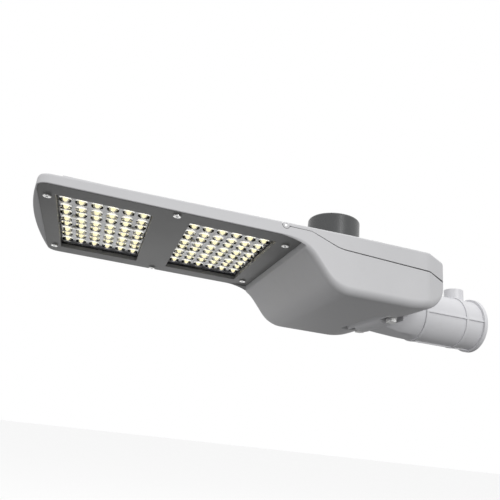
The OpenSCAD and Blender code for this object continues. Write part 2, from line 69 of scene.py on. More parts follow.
floor_form = bmesh.new()
bmesh.ops.create_grid(floor_form, x_segments=1, y_segments=1, size=FLOOR_SIZE / 2)
bmesh.ops.translate(floor_form, verts=floor_form.verts, vec=(0, 0, cad_box[0].z - FLOOR_DROP))
floor_mesh = bpy.data.meshes.new("floor")
floor_form.to_mesh(floor_mesh)
floor_form.free()
floor = bpy.data.objects.new("floor", floor_mesh)
bpy.context.scene.collection.objects.link(floor)
floor.visible_diffuse = False
floor.visible_glossy = False
floor.visible_transmission = False
floor_paint = bpy.data.materials.new("pale_floor")
floor_paint.use_nodes = True
floor_paint.node_tree.nodes["Principled BSDF"].inputs["Base Color"].default_value = (0.9, 0.9, 0.9, 1)
floor_paint.node_tree.nodes["Principled BSDF"].inputs["Roughness"].default_value = 0.9
floor_paint.node_tree.nodes["Principled BSDF"].inputs["Emission Color"].default_value = (1, 1, 1, 1)
floor_paint.node_tree.nodes["Principled BSDF"].inputs["Emission Strength"].default_value = FLOOR_GLOW
floor_mesh.materials.append(floor_paint)

# The room's light by height: dim from below, full from above. The camera sees it plain white.
ROOM_STOPS = [(0.0, 0.14), (0.25, 0.2), (0.42, 0.42), (0.55, 0.6), (1.0, 0.85)]
room = bpy.data.worlds.new("room")
room.use_nodes = True
bpy.context.scene.world = room
room_nodes = room.node_tree.nodes
room_links = room.node_tree.links
heading = room_nodes.new("ShaderNodeTexCoord")
parts_of_heading = room_nodes.new("ShaderNodeSeparateXYZ")
height = room_nodes.new("ShaderNodeMapRange")
height.inputs["From Min"].default_value = -1
room_ramp = room_nodes.new("ShaderNodeValToRGB")
stops = room_ramp.color_ramp.elements
while len(stops) < len(ROOM_STOPS):
    stops.new(0.5)
for stop, (position, level) in zip(stops, ROOM_STOPS):
    stop.position = position
    stop.color = (level, level, level, 1)
seen = room_nodes.new("ShaderNodeLightPath")
choice = room_nodes.new("ShaderNodeMix")
choice.data_type = "RGBA"
choice.inputs[7].default_value = (1, 1, 1, 1)
room_links.new(heading.outputs["Generated"], parts_of_heading.inputs[0])
room_links.new(parts_of_heading.outputs["Z"], height.inputs["Value"])
room_links.new(height.outputs[0], room_ramp.inputs[0])
room_links.new(seen.outputs["Is Camera Ray"], choice.inputs[0])
room_links.new(room_ramp.outputs[0], choice.inputs[6])
room_links.new(choice.outputs[2], room_nodes["Background"].inputs["Color"])


def soft_lamp(name, place, aim, size, watts, tall=None):
    lamp = bpy.data.lights.new(name, "AREA")
    lamp.shape = "ELLIPSE"
    lamp.size = size
    lamp.size_y = tall or size
    lamp.energy = watts
    body = bpy.data.objects.new(name, lamp)
    body.location = place
    body.rotation_euler = (Vector(aim) - Vector(place)).to_track_quat("-Z", "Y").to_euler()
    body.visible_camera = False
    bpy.context.scene.collection.objects.link(body)


middle = (cad_box[0] + cad_box[1]) / 2
soft_lamp("near_lamp", middle + Vector((0.5, -3.4, 0.5)), middle, 1.8, 44)
soft_lamp("top_lamp", middle + Vector((0.6, 0.6, 2.4)), middle, 1.8, 10)
soft_lamp("nose_lamp", middle + Vector((-2.9, -0.75, -0.25)), middle, 0.8, 8)
soft_lamp("far_low_lamp", middle + Vector((0, 1.3, -0.45)), middle, 1.2, 1.0, tall=0.45)

CAMERA_AT = (-0.5150, -0.6341, -0.1822)
TURN_TO_X = 15.153
PITCH_UP = 19.238
ROLL = 6.575
camera_data = bpy.data.cameras.new("camera")
camera_data.sensor_width = 36.0
camera_data.lens = 37.69
camera_data.clip_start = 0.05
camera_data.clip_end = 100.0
camera = bpy.data.objects.new("camera", camera_data)
turn = (Matrix.Rotation(radians(-TURN_TO_X), 4, "Z")
        @ Matrix.Rotation(radians(90 + PITCH_UP), 4, "X")
        @ Matrix.Rotation(radians(ROLL), 4, "Z"))
camera.matrix_world = Matrix.Translation(CAMERA_AT) @ turn
bpy.context.scene.collection.objects.link(camera)
bpy.context.scene.camera = camera
bpy.context.scene.view_settings.view_transform = "Standard"


# ---------------------------------------------------------------- housing
# One pressure die casting: the light tray with its cooling fins on top, and behind it the deep
# gear compartment with the knuckle's pocket in its tail. Light grey polyester powder coat.

# Outline of the whole head, housing and lid together, a hair inside the casting's own planes.
SKIN = 0.2 * MM
tub_low, tub_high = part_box("main_housing")
NOSE = tub_low.x + SKIN
TAIL = tub_high.x - SKIN
HALF_W = tub_high.y - SKIN
BELLY = tub_low.z + SKIN
TRAY_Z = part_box("lens_frame")[0].z + SKIN
NOSE_TOP = 41.5 * MM - SKIN
REAR_TOP = 48.0 * MM - SKIN
TOP_SLOPE = 6.5 / 363
NOSE_ARC = 587 * MM
NOSE_BLEND = 120 * MM
CREASE_X = -603 * MM
LIP_SLOPE = 0.3
NOSE_CORNER = 12 * MM
SWOOP_START = -344 * MM
SWOOP_ANGLE = radians(50)
SWOOP_OUT = 60 * MM
SWOOP_IN = 41 * MM
TAIL_LONG = 66 * MM
TAIL_RISE = 18 * MM
CHAMFER_START = -151 * MM
CHAMFER_SLOPE = 26 / 40.6
TAIL_CORNER = 9 * MM
TOP_FILLET = 3.6 * MM
RIM_FILLET = 0.9 * MM
BELLY_FILLET = 10 * MM
STEP_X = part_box("lens_frame")[1].x + 0.3 * MM
STEP_HALF_W = HALF_W - 2 * MM
STEP_FILLET = 2.2 * MM


def smooth(t):
    t = max(0.0, min(1.0, t))
    return t * t * (3 - 2 * t)


def round_in(distance, radius):
    """How far a rounded end of that radius is drawn in, at a distance from its tip."""
    if distance >= radius:
        return 0.0
    return radius - sqrt(max(0.0, radius ** 2 - (radius - distance) ** 2))


def underside(x):
    drop = TRAY_Z - BELLY
    curved = (SWOOP_OUT + SWOOP_IN) * (1 - cos(SWOOP_ANGLE))
    straight = (drop - curved) / sin(SWOOP_ANGLE)
    bend_end = SWOOP_START + SWOOP_OUT * sin(SWOOP_ANGLE)
    slope_end = bend_end + straight * cos(SWOOP_ANGLE)
    belly_start = slope_end + SWOOP_IN * sin(SWOOP_ANGLE)
    tail_start = TAIL - TAIL_LONG
    if x < SWOOP_START:
        return TRAY_Z + round_in(x - NOSE, RIM_FILLET)
    if x < bend_end:
        return TRAY_Z - SWOOP_OUT + sqrt(SWOOP_OUT ** 2 - (x - SWOOP_START) ** 2)
    if x < slope_end:
        fallen = (x - bend_end) * sin(SWOOP_ANGLE) / cos(SWOOP_ANGLE)
        return TRAY_Z - SWOOP_OUT * (1 - cos(SWOOP_ANGLE)) - fallen
    if x < belly_start:
        return BELLY + SWOOP_IN - sqrt(SWOOP_IN ** 2 - (belly_start - x) ** 2)
    if x < tail_start:
        return BELLY
    along = min(1.0, (x - tail_start) / TAIL_LONG)
    return TAIL_RISE - (TAIL_RISE - BELLY) * sqrt(max(0.0, 1 - along ** 2))


def top_side(x):
    level = min(REAR_TOP, NOSE_TOP + (x - NOSE) * TOP_SLOPE)
    return level - round_in(x - NOSE, 3 * MM) - round_in(TAIL - x, 4 * MM)


def half_width(x):
    taper = max(0.0, x - CHAMFER_START) * CHAMFER_SLOPE
    return HALF_W - taper - round_in(x - NOSE, NOSE_CORNER) - round_in(TAIL - x, TAIL_CORNER)


def quarter(cy, cz, radius, start, steps):
    """Points of a quarter round in a cross-section, turning anticlockwise from start degrees."""
    return [(cy + radius * cos(radians(start + 90 * i / steps)),
             cz + radius * sin(radians(start + 90 * i / steps))) for i in range(steps + 1)]


def head_section(x):
    low, high, wide = underside(x), top_side(x), half_width(x)
    share = smooth((x - SWOOP_START) / (50 * MM))
    below = RIM_FILLET + (BELLY_FILLET - RIM_FILLET) * share
    room_z = high - low
    below = min(below, 0.55 * room_z, 0.9 * wide)
    above = min(TOP_FILLET, 0.4 * room_z, 0.9 * wide)
    half = (quarter(wide - below, low + below, below, 270, 7)
            + quarter(wide - above, high - above, above, 0, 5))
    flats = 6
    bottom = [((wide - below) * k / flats, low) for k in range(flats)]
    top = [((wide - above) * k / flats, high) for k in range(flats - 1, -1, -1)]
    right = bottom + half + top
    # the edge where the frame's bed ends is rounded over, between the side walls
    past = x - STEP_X
    lift = round_in(max(past, 0), STEP_FILLET) if -0.5 * MM < past < STEP_FILLET else 0
    right = [(y, z + lift if y < STEP_HALF_W and z < low + below else z) for y, z in right]
    left = [(-y, z) for y, z in reversed(right)][1:-1]
    fade = 1 - smooth((x - NOSE) / NOSE_BLEND)
    points = []
    for y, z in right + left:
        place = x + fade * (NOSE_ARC - sqrt(NOSE_ARC ** 2 - y ** 2))
        if z < (low + high) / 2:
            z += max(0.0, CREASE_X - place) * LIP_SLOPE
        points.append((place, y, z))
    return points


def stations():
    """Places along the head where its cross-section is laid, close together where it bends."""
    ends = [0, 0.15, 0.5, 1.1, 2, 3, 4.5, 6.5, 9, 12, 14, 16]
    nose = [NOSE + d * MM for d in ends[:10]]
    tray = [NOSE + (20 + (SWOOP_START - NOSE) / MM * 0.1 * k) * MM for k in range(9)]
    bend = [SWOOP_START + k * 3.2 * MM for k in range(-3, 32)]
    step = [STEP_X + d * MM for d in (-0.8, -0.4, 0, 0.15, 0.4, 0.8, 1.3, 1.8, 2.2)]
    belly = [-238 * MM + k * 12 * MM for k in range(5)]
    tail = [TAIL - TAIL_LONG * cos(radians(a)) for a in range(90, 0, -4)]
    rear = [TAIL - d * MM for d in reversed(ends)]
    found = sorted(nose + tray + bend + step + belly + tail + rear)
    kept = found[:1]
    for x in found[1:]:
        if x - kept[-1] > 0.1 * MM:
            kept.append(x)
    kept[-1] = TAIL
    return kept


def loft(places, section):
    """A closed shell through the cross-sections at those places: a grid rolled up and capped."""
    rows = [section(x) for x in places]
    along, around = len(rows) - 1, len(rows[0])
    form = bmesh.new()
    bmesh.ops.create_grid(form, x_segments=along, y_segments=around, size=1)
    for v in form.verts:
        row = round((v.co.x + 1) / 2 * along)
        point = round((v.co.y + 1) / 2 * around) % around
        v.co = rows[row][point]
    bmesh.ops.remove_doubles(form, verts=form.verts, dist=1e-6)
    bmesh.ops.holes_fill(form, edges=[e for e in form.edges if e.is_boundary])
    bmesh.ops.recalc_face_normals(form, faces=form.faces)
    return form


def as_object(name, form, sharp_over=32):
    mesh = bpy.data.meshes.new(name)
    form.to_mesh(mesh)
    form.free()
    if "custom_normal" in mesh.attributes:
        mesh.attributes.remove(mesh.attributes["custom_normal"])
    mesh.shade_smooth()
    mesh.set_sharp_from_angle(angle=radians(sharp_over))
    made = bpy.data.objects.new(name, mesh)
    bpy.context.scene.collection.objects.link(made)
    return made


def merged_copy(node):
    """The shape of a CAD node with its loose triangles joined and its flats made whole."""
    form = bmesh.new()
    form.from_mesh(cad[node].data)
    bmesh.ops.remove_doubles(form, verts=form.verts, dist=1e-6)
    bmesh.ops.dissolve_limit(form, angle_limit=radians(0.3), verts=form.verts, edges=form.edges)
    return form


def block(low, high):
    """A cuboid between two corners, as a bmesh."""
    form = bmesh.new()
    made = bmesh.ops.create_cube(form, size=1)["verts"]
    low, high = Vector(low), Vector(high)
    bmesh.ops.scale(form, verts=made, vec=high - low)
    bmesh.ops.translate(form, verts=made, vec=(low + high) / 2)
    return form


def carve(body, tool, operation):
    """Joins, cuts or trims one solid with another, which is used up."""
    step = body.modifiers.new(operation, "BOOLEAN")
    step.operation = operation
    step.solver = "MANIFOLD"
    step.object = tool
    shaped = bpy.data.meshes.new_from_object(body.evaluated_get(bpy.context.evaluated_depsgraph_get()))
    body.modifiers.clear()
    body.data = shaped
    bpy.data.objects.remove(tool)


WELD = 0.002 * MM
FLAP_AREA = 0.1 * MM ** 2


def clear_slivers(piece):
    """Welds what the cuts left a hair apart, splits large faces so that none folds over itself,
    drops the tiny flaps on an edge and closes what they leave."""
    form = bmesh.new()
    form.from_mesh(piece.data)
    bmesh.ops.remove_doubles(form, verts=form.verts, dist=WELD)
    bmesh.ops.dissolve_degenerate(form, dist=WELD, edges=form.edges)
    bmesh.ops.triangulate(form, faces=[f for f in form.faces if len(f.verts) > 4])
    crowded = [e for e in form.edges if len(e.link_faces) > 2]
    flaps = {f for e in crowded for f in e.link_faces if f.calc_area() < FLAP_AREA}
    bmesh.ops.delete(form, geom=list(flaps), context="FACES")
    bmesh.ops.holes_fill(form, edges=[e for e in form.edges if e.is_boundary])
    form.to_mesh(piece.data)
    form.free()


def round_edges(form, width, segments=2, over=30):
    """Rounds every edge that is sharper than that angle."""
    sharp = [e for e in form.edges if len(e.link_faces) == 2 and e.calc_face_angle() > radians(over)]
    bmesh.ops.bevel(form, geom=sharp, offset=width, offset_type="OFFSET", affect="EDGES",
                    segments=segments, profile=0.5, material=-1, clamp_overlap=True)


def finished(piece, material, body, slot_name, *nodes):
    """Paints a piece and puts it in its nodes' place on its body, with its flats shaded flat."""
    if material:
        piece.data.materials.clear()
        piece.data.materials.append(material)
    piece.data.shade_smooth()
    piece.data.set_sharp_from_angle(angle=radians(32))
    flats = piece.modifiers.new("flats", "WEIGHTED_NORMAL")
    flats.keep_sharp = True
    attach(piece, body)
    if nodes:
        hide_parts(*nodes)
    return piece


# Shader sums are written as Python sums on this wrapper of a node's socket.
class Shade:
    def __init__(self, recipe, socket):
        self.recipe = recipe
        self.socket = socket

    def sum(self, operation, *values):
        return self.recipe.node("ShaderNodeMath", {"operation": operation}, dict(enumerate(values)))

    def __add__(self, other):
        return self.sum("ADD", self, other)

    def __radd__(self, other):
        return self.sum("ADD", other, self)

    def __sub__(self, other):
        return self.sum("SUBTRACT", self, other)

    def __rsub__(self, other):
        return self.sum("SUBTRACT", other, self)

    def __mul__(self, other):
        return self.sum("MULTIPLY", self, other)

    def __rmul__(self, other):
        return self.sum("MULTIPLY", other, self)

    def __gt__(self, other):
        return self.sum("GREATER_THAN", self, other)


# A finish's nodes: node() makes any node, and the named methods make those that most finishes use.
class Finish:
    def __init__(self, name, **constants):
        self.material = bpy.data.materials.new(name)
        self.material.use_nodes = True
        self.tree = self.material.node_tree
        self.shader = self.tree.nodes["Principled BSDF"]
        self.place = self.node("ShaderNodeTexCoord", {}, {}, "Object")
        for socket, value in constants.items():
            self.feed(socket.replace("_", " "), value)

    def node(self, kind, settings, sockets, out=0):
        made = self.tree.nodes.new(kind)
        for key, value in settings.items():
            if key == "stops":
                ramp = made.color_ramp.elements
                while len(ramp) < len(value):
                    ramp.new(0.5)
                for stop, (position, level) in zip(ramp, value):
                    stop.position = position
                    stop.color = (level, level, level, 1)
            else:
                setattr(made, key, value)
        for key, value in sockets.items():
            self.join(value, made.inputs[key])
        return Shade(self, made.outputs[out])

    def join(self, value, socket):
        if isinstance(value, Shade):
            self.tree.links.new(value.socket, socket)
        else:
            socket.default_value = value

    def feed(self, socket, value):
        self.join(value, self.shader.inputs[socket])

    def noise(self, scale, detail=2.0, stretch=(1, 1, 1), roughness=0.5):
        place = self.node("ShaderNodeMapping", {}, {"Vector": self.place, "Scale": stretch})
        return self.node("ShaderNodeTexNoise", {}, {"Vector": place, "Scale": scale, "Detail": detail,
                                                    "Roughness": roughness})

    def ramp(self, value, *stops):
        return self.node("ShaderNodeValToRGB", {"stops": stops}, {0: value})

    def mix(self, share, first, second):
        return self.node("ShaderNodeMix", {"data_type": "RGBA"}, {0: share, 6: first, 7: second}, 2)

    def rounded(self, radius):
        """The surface direction with every edge rounded off by that radius."""
        return self.node("ShaderNodeBevel", {"samples": 6}, {"Radius": radius})

    def rounded_edge_mask(self, direction):
        """1 on rounded-off edges and 0 on flats."""
        true = self.node("ShaderNodeNewGeometry", {}, {}, "Normal")
        along = self.node("ShaderNodeVectorMath", {"operation": "DOT_PRODUCT"},
                          {0: direction, 1: true}, "Value")
        return self.ramp(1 - along, (0.0, 0.0), (0.06, 1.0))

    def bump(self, height, strength, depth, over=None):
        sockets = {"Height": height, "Strength": strength, "Distance": depth}
        if over:
            sockets["Normal"] = over
        return self.node("ShaderNodeBump", {}, sockets)


def grey(level, red=0, blue=0):
    """A linear colour from a display level of 0 to 255, with small shifts to red and blue."""
    return tuple(((level + shift) / 255) ** 2.2 for shift in (red, 0, blue)) + (1,)


def powder_coat(name, level, blue, roughness):
    """Polyester powder coat: a fine orange peel, slightly cloudy, and paler on its edges, partly rubbed
    paint and partly a painted highlight.
    """
    coat = Finish(name, Coat_Roughness=0.3, Coat_IOR=1.45)
    peel = coat.noise(420, 2.0)
    grain = coat.noise(1900, 2.0)
    cloud = coat.noise(14, 4.0, roughness=0.6)
    dust = coat.noise(60, 6.0, roughness=0.7)
    edges = coat.rounded(0.0006)
    rub_and_highlight = coat.rounded_edge_mask(edges)
    body = coat.mix(cloud, grey(level * 0.965, blue=blue), grey(level * 1.02, blue=blue))
    body = coat.mix(coat.ramp(dust, (0.55, 0.0), (0.8, 1.0)) * 0.2, body, grey(level * 0.86, 2))
    # painted highlight: rounded edges are mixed paler, partly for rubbed paint and partly for the light
    # they catch
    body = coat.mix(rub_and_highlight * 0.15, body, grey(min(250, level * 1.1), blue=blue))
    coat.feed("Base Color", body)
    coat.feed("Roughness", roughness + (cloud - 0.5) * 0.16 + (grain - 0.5) * 0.12 - rub_and_highlight * 0.06)
    coat.feed("Coat Weight", 0.12 + (dust - 0.5) * 0.1)
    coat.feed("Normal", coat.bump(peel * 0.6 + grain * 0.4, 0.16, 0.00025, edges))
    return coat.material


housing_paint = powder_coat("light_grey_powder_coat", 208, 2, 0.44)

# The outside is trimmed to the rounded outline. The fin bank keeps its own block, and the fins are
# drawn with draft and soft ends, as they leave the die.
BANK_FROM = NOSE + 18.3 * MM
BANK_TO = SWOOP_START - 3.2 * MM
BANK_HALF_W = 103.8 * MM
BANK_TOP = 45.8 * MM
fin_bank = block((BANK_FROM, -BANK_HALF_W, TRAY_Z + 4 * MM), (BANK_TO, BANK_HALF_W, BANK_TOP))
round_edges(fin_bank, 1.6 * MM, 3)
FINS = 15
FIN_PITCH = 13 * MM
FIN_FROM = NOSE + 26.2 * MM
FIN_TO = SWOOP_START - 9.2 * MM
FIN_TOP = tub_high.z - 0.1 * MM
FIN_T = 2.3 * MM
FIN_DRAFT = 0.35 * MM
FIN_END_SLOPE = 5 * MM
FIN_FOOT = 44.5 * MM
FIN_CROWN = FIN_TOP - 1 * MM
all_fins = bmesh.new()
for k in range(FINS):
    y = (k - (FINS - 1) / 2) * FIN_PITCH
    fin = block((FIN_FROM, y - FIN_T / 2, FIN_FOOT), (FIN_TO, y + FIN_T / 2, FIN_TOP))
    for v in fin.verts:
        if v.co.z > FIN_CROWN:
            v.co.x += FIN_END_SLOPE if v.co.x < (FIN_FROM + FIN_TO) / 2 else -FIN_END_SLOPE
            v.co.y += FIN_DRAFT if v.co.y < y else -FIN_DRAFT
    top_edges = [e for e in fin.edges if all(v.co.z > FIN_CROWN for v in e.verts)]
    bmesh.ops.bevel(fin, geom=top_edges, offset=0.7 * MM, offset_type="OFFSET", affect="EDGES",
                    segments=3, profile=0.5, material=-1, clamp_overlap=True)
    one = bpy.data.meshes.new("fin")
    fin.to_mesh(one)
    fin.free()
    all_fins.from_mesh(one)

housing = as_object("housing", merged_copy("main_housing"))
outline = as_object("outline", loft(stations(), head_section))
carve(outline, as_object("fin_bank", fin_bank), "UNION")
carve(housing, outline, "INTERSECT")
carve(housing, as_object("fins", all_fins), "UNION")
clear_slivers(housing)
finished(housing, housing_paint, "head", "cast_aluminium", "main_housing")


# ---------------------------------------------------------------- gear compartment lid
# Second casting, hinged at its front edge on two lugs, with a raised round pad for the control
# socket. It carries the same light grey coat, and its side walls carry on the housing's own.
PAD_R = 43.8 * MM
socket_low, socket_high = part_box("sensor_socket")
SOCKET_X = (socket_low.x + socket_high.x) / 2
PAD_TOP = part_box("socket_seal")[0].z - 0.1 * MM


def disc(x, y, z0, z1, radius, steps=64):
    """A closed upright round bar."""
    form = bmesh.new()
    bmesh.ops.create_cone(form, cap_ends=True, segments=steps, radius1=radius, radius2=radius,
                          depth=z1 - z0)
    bmesh.ops.translate(form, verts=form.verts, vec=(x, y, (z0 + z1) / 2))
    return form


pad = disc(SOCKET_X, 0, 40 * MM, PAD_TOP, PAD_R, 96)
round_edges(pad, 1.8 * MM, 4, over=60)
lid = as_object("lid", merged_copy("gear_lid"))
cover = as_object("cover", loft(stations(), head_section))
carve(cover, as_object("pad", pad), "UNION")
carve(lid, cover, "INTERSECT")
finished(lid, housing_paint, "lid", "cast_aluminium", "gear_lid")


# ---------------------------------------------------------------- plain turned and moulded pieces
# Pieces whose shape is right as designed are taken as they are, with their edges broken as a
# lathe, a press or a mould leaves them.
def refined(node, material, body, slot_name, width=0.3 * MM, segments=2, sharp_over=32):
    form = merged_copy(node)
    if width:
        round_edges(form, width, segments)
    return finished(as_object(node + "_piece", form, sharp_over), material, body, slot_name, node)


def metal(name, colour, roughness, turning=0.0):
    """Bare or plated metal: faint cloudy tarnish, fine scratches, and turning marks where it is turned."""
    bare = Finish(name, Metallic=1.0)
    tarnish = bare.noise(300, 4.0)
    scratch = bare.noise(1500, 3.0, stretch=(1, 1, 0.15))
    tone = bare.ramp(tarnish, (0.3, 0.78), (0.65, 1.0))
    dark = tuple(c * 0.72 for c in colour[:3]) + (1,)
    edges = bare.rounded(0.0003)
    bare.feed("Base Color", bare.mix(tone, dark, colour))
    bare.feed("Roughness", roughness + (scratch - 0.5) * 0.25)
    height = scratch * 0.5
    if turning:
        rings = bare.node("ShaderNodeTexWave", {"wave_type": "RINGS", "rings_direction": "Z"},
                          {"Vector": bare.place, "Scale": turning, "Distortion": 0.4})
        height = height + rings * 0.3
    bare.feed("Normal", bare.bump(height, 0.2, 0.0001, edges))
    return bare.material


def moulding(name, colour, roughness, grain=2200, depth=0.18, coat=0.0):
    """Moulded plastic or rubber: a fine spark-eroded grain, slight cloudiness and handling marks."""
    plastic = Finish(name, Coat_Weight=coat, Coat_Roughness=0.25)
    grains = plastic.noise(grain, 3.0)
    cloud = plastic.noise(35, 4.0)
    marks = plastic.noise(240, 5.0, stretch=(1, 1, 0.25), roughness=0.7)
    edges = plastic.rounded(0.0003)
    pale = tuple(min(1.0, c * 1.25 + 0.004) for c in colour[:3]) + (1,)
    body = plastic.mix(cloud * 0.5, colour, pale)
    body = plastic.mix(plastic.ramp(marks, (0.6, 0.0), (0.8, 1.0)) * 0.35, body, pale)
    plastic.feed("Base Color", plastic.mix(plastic.rounded_edge_mask(edges) * 0.25, body, pale))
    plastic.feed("Roughness", roughness + (grains - 0.5) * 0.15 + (marks - 0.5) * 0.2)
    plastic.feed("Normal", plastic.bump(grains, depth, 0.00015, edges))
    return plastic.material


stainless = metal("stainless_steel", (0.95, 0.95, 0.94, 1), 0.3)
rubber = moulding("black_silicone", (0.018, 0.018, 0.02, 1), 0.62, grain=900)

# hinge pins, the lid's cord seal, its captive screws and their retaining rings
for side in ("near", "far"):
    refined("hinge_pin_" + side, stainless, "head", "steel", 0.25 * MM)
    refined("lid_screw_" + side, stainless, side + "_screw", "steel", 0.5 * MM, 3)
# the cord seal is cut back to the rounded outline, a little inside it
SEAL_SHARE = (0.994, 0.985, 1)
seal_form = merged_copy("lid_seal")
round_edges(seal_form, 0.3 * MM)
seal = as_object("lid_cord", seal_form)
cut_back = loft(stations(), head_section)
bmesh.ops.scale(cut_back, verts=cut_back.verts, vec=SEAL_SHARE,
                space=Matrix.Translation(-(tub_low + tub_high) / 2))
carve(seal, as_object("cut_back", cut_back), "INTERSECT")
finished(seal, rubber, "head", "seal_black", "lid_seal")
nylon = moulding("black_nylon", (0.024, 0.024, 0.026, 1), 0.46)
refined("screw_retainers", nylon, "lid", "black_plastic", 0.2 * MM)


# ---------------------------------------------------------------- lens frame
# A flat pressed aluminium frame with a deep collar round each window, in dark grey satin powder
# coat, set in the housing's rim. Six bright pan head screws with hexagon sockets pull it up
# against the tray.
frame_paint = powder_coat("dark_grey_powder_coat", 128, 0, 0.42)
refined("lens_frame", frame_paint, "head", "frame_paint", 0.6 * MM, 3)
bright_screw = metal("bright_plated_screw", (0.97, 0.97, 0.96, 1), 0.2)
refined("frame_screws", bright_screw, "head", "steel", 0.5 * MM, 3)


# ---------------------------------------------------------------- light engine
# Behind each window: a silicone seal, one clear moulded plate of 48 lens bubbles, and a white
# circuit board with an LED under each bubble. Four small screws hold the stack to the tray. The LEDs
# and their white packages are given a painted glow, so that they show through the lenses of a lamp that is
# switched off, and the glowing package rings show as white highlights in the lenses.
LENS_LONG = 6.9 * MM
LENS_WIDE = 5.7 * MM
LENS_TALL = 4.0 * MM
DIMPLE = 0.22
LED_SIZE = 5.0 * MM
DOME_R = 3.3 * MM
DOME_TALL = 3.4 * MM
HOLLOW_R = 3.8 * MM
HOLLOW_TALL = 3.7 * MM
RING_R = 6.4 * MM
RING_T = 0.3 * MM
COLUMNS = 6
COLUMN_PITCH = 17.2 * MM
TILES = 4
TILE_PITCH = 39 * MM
ROW_GAP = 22 * MM

clear = Finish("clear_optic", Transmission_Weight=1.0, IOR=1.4, Base_Color=(0.97, 0.98, 0.98, 1))
haze = clear.noise(180, 4.0)
clear.feed("Roughness", 0.03 + clear.ramp(haze, (0.5, 0.0), (0.85, 1.0)) * 0.08)
clear.feed("Normal", clear.bump(clear.noise(260, 2.0), 0.06, 0.0002))

board = Finish("white_solder_mask", Roughness=0.38, Coat_Weight=0.2)
copper = board.node("ShaderNodeTexBrick", {"offset": 0.5, "squash": 1.0},
                    {"Vector": board.place, "Scale": 58.0, "Color1": (1, 1, 1, 1),
                     "Color2": (0.75, 0.75, 0.75, 1), "Mortar": (0, 0, 0, 1), "Mortar Size": 0.03,
                     "Brick Width": 1.0, "Row Height": 0.62}, "Color")
# darker blue-grey blotches over part of the board
blotches = board.noise(70, 5.0, roughness=0.7)
mask = board.mix(copper, grey(176, blue=6), grey(236, blue=9))
mask = board.mix(board.ramp(blotches, (0.4, 0.0), (0.7, 1.0)) * 0.5, mask, grey(158, blue=12))
board.feed("Base Color", mask)
board.feed("Normal", board.bump(copper * 0.6 + blotches * 0.2, 0.4, 0.0001))

# painted light: the phosphor glows in its own colour although the lamp is switched off
phosphor = Finish("yellow_phosphor", Roughness=0.5, Emission_Strength=1.1)
mottle = phosphor.noise(900, 3.0)
glow = phosphor.mix(mottle, (0.93, 0.80, 0.42, 1), (0.97, 0.90, 0.62, 1))
phosphor.feed("Base Color", glow)
phosphor.feed("Emission Color", glow)
phosphor.feed("Normal", phosphor.bump(mottle, 0.3, 0.0001))
# painted light: the white package and its wide ring glow, and show through the lenses as white highlights
package = Finish("white_led_package", Roughness=0.35, Emission_Strength=1.0,
                 Emission_Color=(1, 0.98, 0.93, 1))
chalk = package.noise(1200, 2.0)
package.feed("Base Color", package.mix(chalk, grey(225), grey(244)))
package.feed("Normal", package.bump(chalk, 0.2, 0.00008))


def lens_places(node):
    """Centres of the 48 lenses of the board of that name, seen from above."""
    low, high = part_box(node)
    centre = (low.x + high.x) / 2
    return [(centre + (c - (COLUMNS - 1) / 2) * COLUMN_PITCH,
             (t - (TILES - 1) / 2) * TILE_PITCH + side * ROW_GAP / 2)
            for c in range(COLUMNS) for t in range(TILES) for side in (-1, 1)]


def lens_bubble(form, x, y, z):
    """One street lens: an oval bubble with a shallow dimple across its crown, hanging from z."""
    made = bmesh.ops.create_uvsphere(form, u_segments=20, v_segments=10, radius=1)["verts"]
    for v in made:
        dip = 1 - DIMPLE * exp(-(v.co.x / 0.42) ** 2) * max(0.0, -v.co.z)
        v.co = (x + v.co.x * LENS_LONG, y + v.co.y * LENS_WIDE, z + v.co.z * LENS_TALL * dip)
    flat = z + 0.8 * MM
    for v in made:
        v.co.z = min(v.co.z, flat)
    return made


for part in ("front", "rear"):
    plate_low, plate_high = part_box("lens_" + part)
    plate_under = plate_high.z - 1.6 * MM
    plate_form = block((plate_low.x, plate_low.y, plate_under), plate_high)
    plate = as_object("lens_plate_" + part, plate_form)
    bubbles = bmesh.new()
    hollows = bmesh.new()
    for x, y in lens_places("lens_" + part):
        lens_bubble(bubbles, x, y, plate_under)
        hollow = bmesh.ops.create_uvsphere(hollows, u_segments=16, v_segments=8, radius=1)["verts"]
        bmesh.ops.scale(hollows, verts=hollow, vec=(HOLLOW_R, HOLLOW_R, HOLLOW_TALL))
        bmesh.ops.translate(hollows, verts=hollow, vec=(x, y, plate_high.z))
    carve(plate, as_object("bubbles", bubbles), "UNION")
    carve(plate, as_object("hollows", hollows), "DIFFERENCE")
    finished(plate, clear.material, "head", "lens_clear", "lens_" + part)

    leds = bmesh.new()
    led_low, led_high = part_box("leds_" + part)
    for x, y in lens_places("leds_" + part):
        chip = bmesh.ops.create_cube(leds, size=1)["verts"]
        bmesh.ops.scale(leds, verts=chip, vec=(LED_SIZE, LED_SIZE, led_high.z - led_low.z))
        bmesh.ops.translate(leds, verts=chip, vec=(x, y, (led_low.z + led_high.z) / 2))
        dome = bmesh.ops.create_uvsphere(leds, u_segments=12, v_segments=8, radius=1)["verts"]
        bmesh.ops.scale(leds, verts=dome, vec=(DOME_R, DOME_R, DOME_TALL))
        bmesh.ops.translate(leds, verts=dome, vec=(x, y, led_low.z))
        for v in dome:
            v.co.z = min(v.co.z, led_low.z + 0.3 * MM)
            for f in v.link_faces:
                f.material_index = 1
        ring = bmesh.ops.create_cone(leds, cap_ends=True, segments=20, radius1=RING_R - 0.3 * MM,
                                     radius2=RING_R, depth=RING_T)["verts"]
        bmesh.ops.translate(leds, verts=ring, vec=(x, y, led_high.z - RING_T / 2))
    lit = as_object("led_chips_" + part, leds)
    lit.data.materials.append(package.material)
    lit.data.materials.append(phosphor.material)
    finished(lit, None, "head", "led_phosphor", "leds_" + part)
    refined("lens_seal_" + part, rubber, "head", "seal_black", 0.15 * MM)
    refined("led_board_" + part, board.material, "head", "board_white", 0)
    refined("lens_screws_" + part, stainless, "head", "steel", 0.35 * MM)


